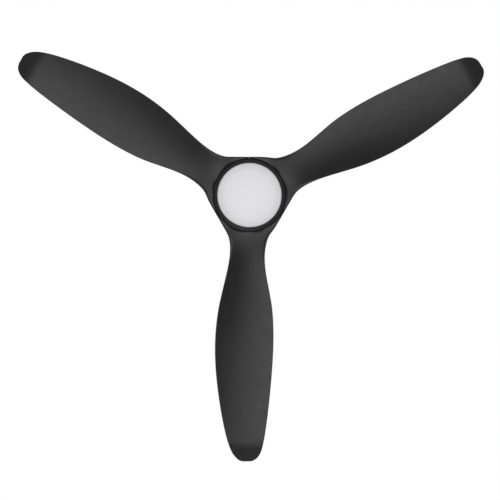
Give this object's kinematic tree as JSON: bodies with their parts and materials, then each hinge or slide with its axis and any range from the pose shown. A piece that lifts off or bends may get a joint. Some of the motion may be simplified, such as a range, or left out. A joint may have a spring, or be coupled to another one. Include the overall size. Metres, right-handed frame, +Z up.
{
  "type": "ceiling fan with light",
  "caption": "Downrod ceiling fan with three twisted black plastic blades that meet in a smooth hub round an opal disc light.",
  "frame": {"origin": "middle of the hanger bracket's face that is screwed to the ceiling", "axes": "+Z up, out of the bracket face into the ceiling; +X along the bracket's two screw slots; one blade points along -Y at rest"},
  "size_m": [1.1566, 1.0158, 0.2965],
  "materials": {
    "zinc_steel": "zinc plated",
    "bright_steel": "ground",
    "lamination_steel": "dull",
    "magnet": "nickel plated",
    "cast_aluminium": "as cast",
    "copper_wire": "enamelled",
    "brass": "turned",
    "black_paint": "matte black",
    "black_screw": "black oxide",
    "black_abs": "matte black",
    "blade_abs": "fine matte black",
    "rubber": "matte",
    "white_plastic": "white",
    "white_board": "white solder mask",
    "board_green": "solder mask",
    "component_black": "mixed parts",
    "led_yellow": "phosphor",
    "lead_sheath": "matte",
    "opal": "opal, satin"
  },
  "bodies": {
    "ceiling": {"hanger_bracket": "zinc_steel", "canopy": "black_paint", "canopy_screws": "black_screw", "terminal_block": "white_plastic"},
    "seat_pads": {"ball_seat_liner": "rubber"},
    "hanging": {"hanger_ball": "black_abs", "ball_pin": "zinc_steel", "ball_set_screw": "zinc_steel", "downrod": "black_paint", "yoke": "black_paint", "yoke_flange_screws": "zinc_steel", "yoke_set_screws": "zinc_steel", "clevis_pin": "zinc_steel", "hairpin_clip": "zinc_steel", "motor_top_plate": "black_paint", "motor_housing": "black_paint", "housing_screws": "black_screw", "motor_shaft": "bright_steel", "circlip": "bright_steel", "board_standoffs": "brass", "driver_board": "board_green", "driver_components": "component_black", "stator_hub": "cast_aluminium", "stator_core": "lamination_steel", "stator_windings": "copper_wire", "bearing_spacers": "bright_steel", "bearing_inner_races": "bright_steel", "light_pan": "cast_aluminium", "shaft_nut": "zinc_steel", "light_driver": "white_plastic", "led_board": "white_board", "led_chips": "led_yellow", "led_board_screws": "zinc_steel", "light_bezel": "black_abs", "supply_lead": "lead_sheath", "light_lead": "lead_sheath"},
    "rotor": {"bearing_outer_races": "bright_steel", "rotor_upper_bell": "cast_aluminium", "rotor_lower_bell": "cast_aluminium", "rotor_ring": "lamination_steel", "rotor_magnets": "magnet", "rotor_case_screws": "zinc_steel", "blade_screws": "black_screw", "blade_1": "blade_abs", "blade_2": "blade_abs", "blade_3": "blade_abs"},
    "bearing_balls": {"bearing_cages": "bright_steel"},
    "rod_cover": {"coupling_cover": "black_paint"},
    "light_cover": {"diffuser": "opal"}
  },
  "joints": [
    {"name": "hanger_swing_x", "type": "hinge", "parent": "ceiling", "child": "seat_pads", "pos_m": [0, 0, -0.046], "axis": [1, 0, 0], "range_deg": [-10, 10], "deforming": ["supply_lead"]},
    {"name": "hanger_swing_y", "type": "hinge", "parent": "seat_pads", "child": "hanging", "pos_m": [0, 0, -0.046], "axis": [0, 1, 0], "range_deg": [-10, 10], "deforming": ["supply_lead"]},
    {"name": "rotor_spin", "type": "hinge", "parent": "hanging", "child": "rotor", "pos_m": [0, 0, -0.212], "axis": [0, 0, 1], "continuous": true},
    {"name": "bearing_ball_orbit", "type": "hinge", "parent": "hanging", "child": "bearing_balls", "pos_m": [0, 0, -0.212], "axis": [0, 0, 1], "continuous": true},
    {"name": "rod_cover_slide", "type": "slide", "parent": "hanging", "child": "rod_cover", "axis": [0, 0, 1], "range_m": [0, 0.03]},
    {"name": "light_cover_twist", "type": "hinge", "parent": "hanging", "child": "light_cover", "pos_m": [0, 0, -0.275], "axis": [0, 0, 1], "range_deg": [0, 20]}
  ],
  "couplings": [
    {"joint": "bearing_ball_orbit", "follows": "rotor_spin", "ratio": 0.5904}
  ]
}
